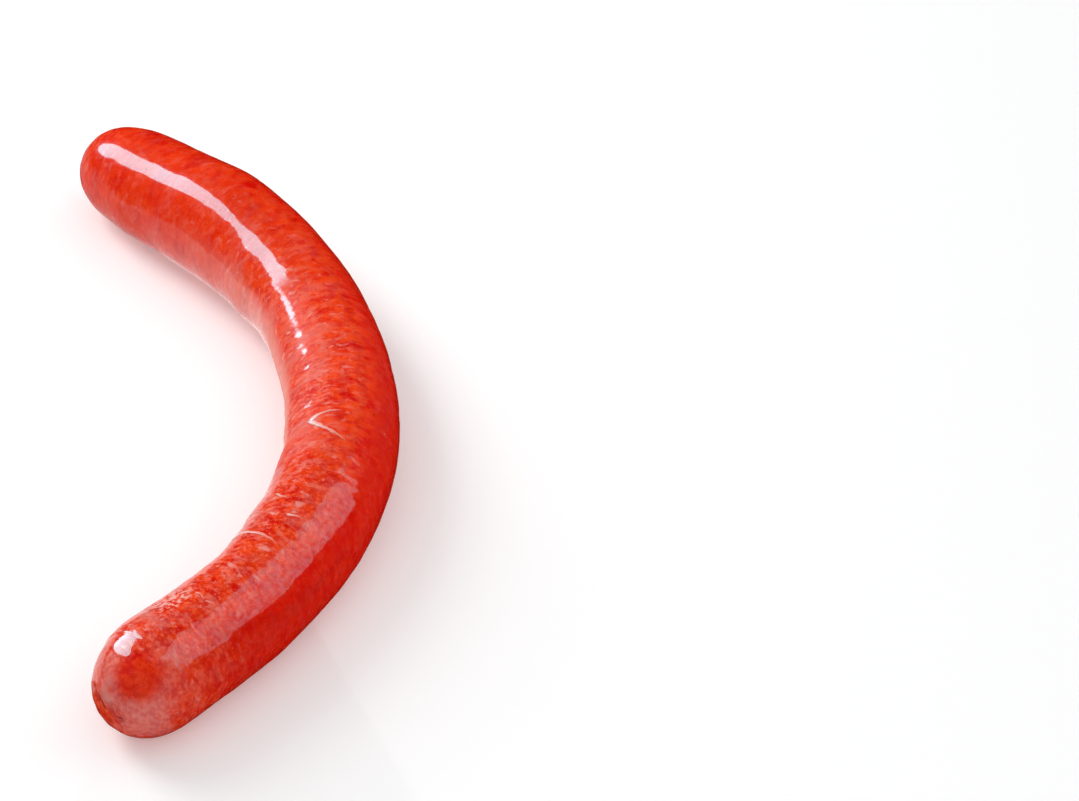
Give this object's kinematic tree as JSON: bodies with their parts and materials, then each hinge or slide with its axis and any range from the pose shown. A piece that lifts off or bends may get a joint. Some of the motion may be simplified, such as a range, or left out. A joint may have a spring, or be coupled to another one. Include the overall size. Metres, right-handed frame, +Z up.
{
  "type": "raw sausage link",
  "caption": "Raw coarse-ground red sausage in a thin natural casing, bowed into an open arc, with rounded ends where the casing is gathered and tucked in.",
  "frame": {"origin": "on the table, under the middle of the sausage's outline seen from above", "axes": "+X towards the outside of the bow, +Y along the chord towards the end whose tip faces away in the picture, +Z up from the table"},
  "size_m": [0.0962, 0.2496, 0.0322],
  "materials": {
    "casing": "moist, soft gloss"
  },
  "bodies": {
    "root": {"sausage": "casing"}
  },
  "joints": []
}
